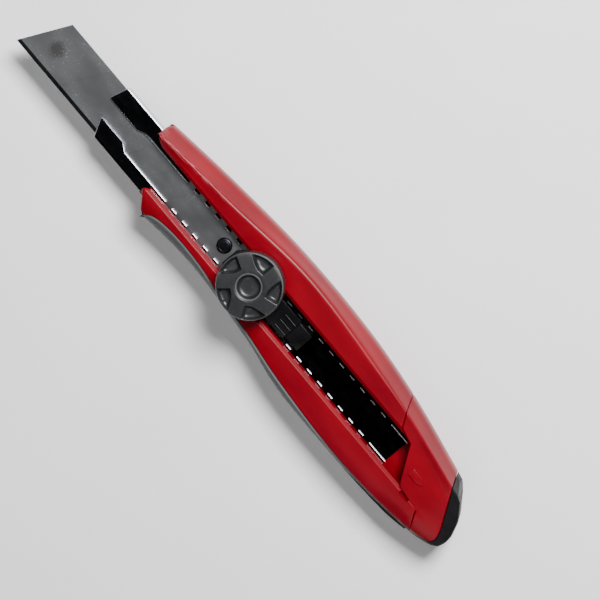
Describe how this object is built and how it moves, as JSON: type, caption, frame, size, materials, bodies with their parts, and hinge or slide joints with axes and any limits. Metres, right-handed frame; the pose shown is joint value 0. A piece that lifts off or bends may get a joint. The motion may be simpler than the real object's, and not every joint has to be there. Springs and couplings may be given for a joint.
{
  "type": "utility knife",
  "caption": "Snap-off utility knife with a curved two-shell handle, rubber grip, toothed steel blade channel, screw lock wheel and a pull-off tail cap.",
  "frame": {"origin": "on the flat back face, straight behind the lock wheel's axis at rest", "axes": "+X forward along the blade, +Y towards the cutting edge, +Z out of the face with the wheel"},
  "size_m": [0.2222, 0.0373, 0.0246],
  "materials": {
    "red_abs": "moulded ABS, satin gloss",
    "grip_rubber": "moulded thermoplastic rubber, matt grey",
    "black_rubber": "moulded thermoplastic rubber, satin black",
    "polished_stainless": "rolled and polished, mirror-like",
    "blade_steel": "ground tool steel, satin, darkened",
    "black_nylon": "moulded nylon",
    "black_steel": "blackened",
    "plated_steel": "zinc plated",
    "wheel_nylon": "moulded glass-filled nylon, satin",
    "brass": "turned"
  },
  "bodies": {
    "handle": {"front_shell": "red_abs", "back_shell": "red_abs", "belly_grip": "grip_rubber", "blade_channel": "polished_stainless", "shell_screw_1": "plated_steel", "shell_screw_2": "plated_steel", "shell_screw_3": "plated_steel", "shell_screw_4": "plated_steel"},
    "slider": {"blade": "blade_steel", "blade_carrier": "black_nylon", "blade_pin": "black_steel", "slider_saddle": "black_nylon", "click_spring": "plated_steel", "clamp_stud": "plated_steel", "stop_ring": "plated_steel"},
    "washer": {"thrust_washer": "plated_steel"},
    "wheel": {"lock_wheel": "wheel_nylon", "wheel_insert": "brass", "wheel_cap": "wheel_nylon"},
    "tail": {"tail_cap": "red_abs", "tail_bumper": "black_rubber"}
  },
  "joints": [
    {"name": "blade_slide", "type": "slide", "parent": "handle", "child": "slider", "axis": [1, 0, 0], "range_m": [-0.0433, 0.0487]},
    {"name": "washer_lift", "type": "slide", "parent": "slider", "child": "washer", "axis": [0, 0, 1], "range_m": [0, 0.0007]},
    {"name": "wheel_turn", "type": "hinge", "parent": "washer", "child": "wheel", "pos_m": [0, 0, 0.0174], "axis": [0, 0, 1], "range_deg": [0, 360]},
    {"name": "cap_pull", "type": "slide", "parent": "handle", "child": "tail", "axis": [-1, 0, 0], "range_m": [0, 0.035]}
  ],
  "couplings": [
    {"joint": "washer_lift", "follows": "wheel_turn", "m_per_rad": 0.0001114}
  ]
}
